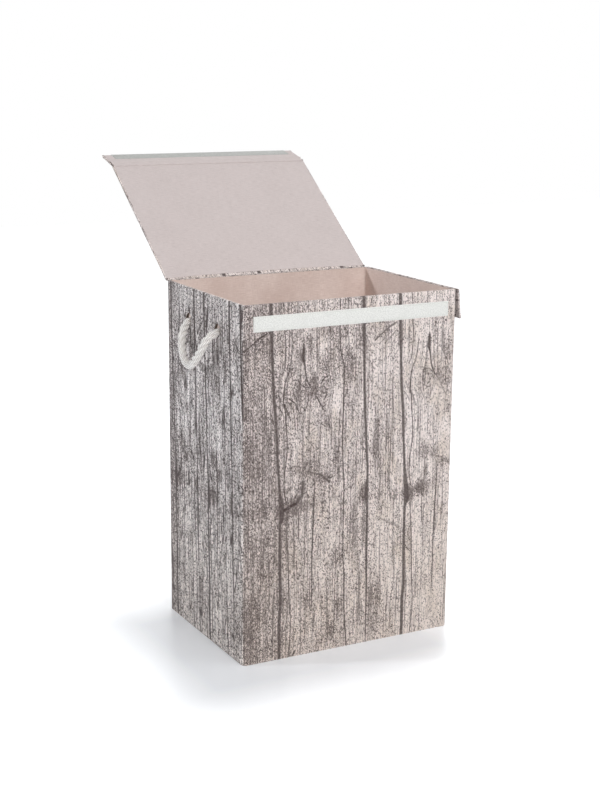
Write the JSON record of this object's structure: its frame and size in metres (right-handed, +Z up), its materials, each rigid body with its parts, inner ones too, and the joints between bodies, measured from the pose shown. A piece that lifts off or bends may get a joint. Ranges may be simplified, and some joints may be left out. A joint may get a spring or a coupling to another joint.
{
  "type": "laundry hamper with lid",
  "caption": "Tall rectangular fabric laundry hamper with a fold-over lid, hook-and-loop closing lip, rope handles and a lift-up stiff floor.",
  "frame": {"origin": "centre of the base's underside", "axes": "+Z up, -Y towards the front with the closing tape, +X to the hamper's right seen from the front"},
  "size_m": [0.4742, 0.6032, 0.7949],
  "materials": {
    "printed_fabric": "matt woven fabric with a weathered wood plank print",
    "lining_fabric": "plain matt woven lining",
    "stiffener_board": "uncoated grey-brown pressed board",
    "loop_tape": "white napped loop tape",
    "hook_tape": "grey-green hook tape",
    "rope": "three-strand twisted natural cotton"
  },
  "bodies": {
    "hamper": {"outer_cover": "printed_fabric", "base_cover": "printed_fabric", "lid_hinge_strip": "printed_fabric", "floor_lining": "lining_fabric", "wall_lining": "lining_fabric", "front_board": "stiffener_board", "back_board": "stiffener_board", "left_front_board": "stiffener_board", "left_rear_board": "stiffener_board", "right_front_board": "stiffener_board", "right_rear_board": "stiffener_board", "front_loop_strip": "loop_tape", "left_front_knot": "rope", "left_rear_knot": "rope", "right_front_knot": "rope", "right_rear_knot": "rope"},
    "base_board_body": {"base_board": "stiffener_board", "base_board_sleeve": "lining_fabric"},
    "lid": {"lid_cover": "printed_fabric", "lid_board": "stiffener_board", "lid_lining": "lining_fabric"},
    "lip": {"lip_cover": "printed_fabric", "lip_board": "stiffener_board", "lip_lining": "lining_fabric", "lip_hook_strip": "hook_tape"},
    "left_handle": {"left_rope_handle": "rope"},
    "right_handle": {"right_rope_handle": "rope"},
    "flap": {"side_flap": "printed_fabric"}
  },
  "joints": [
    {"name": "lid_hinge", "type": "hinge", "parent": "hamper", "child": "lid", "pos_m": [0, 0.1512, 0.6], "axis": [-1, 0, 0], "range_deg": [-144, 55]},
    {"name": "lip_fold", "type": "hinge", "parent": "lid", "child": "lip", "pos_m": [0, 0.40366, 0.77737], "axis": [-1, 0, 0], "range_deg": [-111.6, 38.4]},
    {"name": "left_handle_swing", "type": "hinge", "parent": "hamper", "child": "left_handle", "pos_m": [-0.2079, 0, 0.5425], "axis": [0, 1, 0], "range_deg": [-15, 130]},
    {"name": "right_handle_swing", "type": "hinge", "parent": "hamper", "child": "right_handle", "pos_m": [0.2079, 0, 0.528], "axis": [0, -1, 0], "range_deg": [-15, 105]},
    {"name": "base_board_lift", "type": "hinge", "parent": "hamper", "child": "base_board_body", "pos_m": [0, 0.1412, 0.0046], "axis": [-1, 0, 0], "range_deg": [0, 85]},
    {"name": "side_flap_fold", "type": "hinge", "parent": "hamper", "child": "flap", "pos_m": [0.2019, 0, 0.5985], "axis": [0, -1, 0], "range_deg": [-8.6, 90]}
  ]
}
